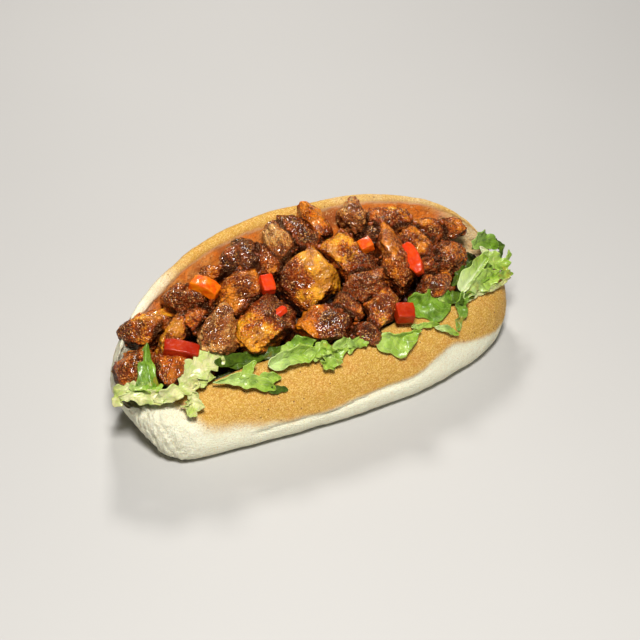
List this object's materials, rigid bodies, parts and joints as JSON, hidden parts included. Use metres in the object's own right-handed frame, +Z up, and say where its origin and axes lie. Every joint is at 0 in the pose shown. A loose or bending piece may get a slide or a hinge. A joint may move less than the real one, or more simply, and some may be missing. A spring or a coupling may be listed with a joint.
{
  "type": "chicken shawarma sandwich",
  "caption": "Soft white sub roll opened like a book, with salad leaves in the fold and a heap of browned, spiced chicken and diced red pepper on top.",
  "frame": {"origin": "middle of the sandwich's outline, on the flat plane that the roll rests on", "axes": "+X along the roll, +Y from the low front half towards the tall back flap, +Z up"},
  "size_m": [0.204, 0.095, 0.0666],
  "materials": {
    "crust": "matte",
    "leaf": "satin",
    "chicken": "satin",
    "pepper": "gloss"
  },
  "bodies": {
    "root": {"bread_roll": "crust", "salad_leaves": "leaf", "chicken_piece_01": "chicken", "chicken_piece_02": "chicken", "chicken_piece_03": "chicken", "chicken_piece_04": "chicken", "chicken_piece_05": "chicken", "chicken_piece_06": "chicken", "chicken_piece_07": "chicken", "chicken_piece_08": "chicken", "chicken_piece_09": "chicken", "chicken_piece_10": "chicken", "chicken_piece_11": "chicken", "chicken_piece_12": "chicken", "chicken_piece_13": "chicken", "chicken_piece_14": "chicken", "chicken_piece_15": "chicken", "chicken_piece_16": "chicken", "chicken_piece_17": "chicken", "chicken_piece_18": "chicken", "chicken_piece_19": "chicken", "chicken_piece_20": "chicken", "chicken_piece_21": "chicken", "chicken_piece_22": "chicken", "chicken_piece_23": "chicken", "chicken_piece_24": "chicken", "chicken_piece_25": "chicken", "chicken_piece_26": "chicken", "chicken_piece_27": "chicken", "chicken_piece_28": "chicken", "chicken_piece_29": "chicken", "chicken_piece_30": "chicken", "chicken_piece_31": "chicken", "chicken_piece_32": "chicken", "chicken_piece_33": "chicken", "pepper_piece_01": "pepper", "pepper_piece_02": "pepper", "pepper_piece_03": "pepper", "pepper_piece_04": "pepper", "pepper_piece_05": "pepper", "pepper_piece_06": "pepper", "pepper_piece_07": "pepper"}
  },
  "joints": []
}
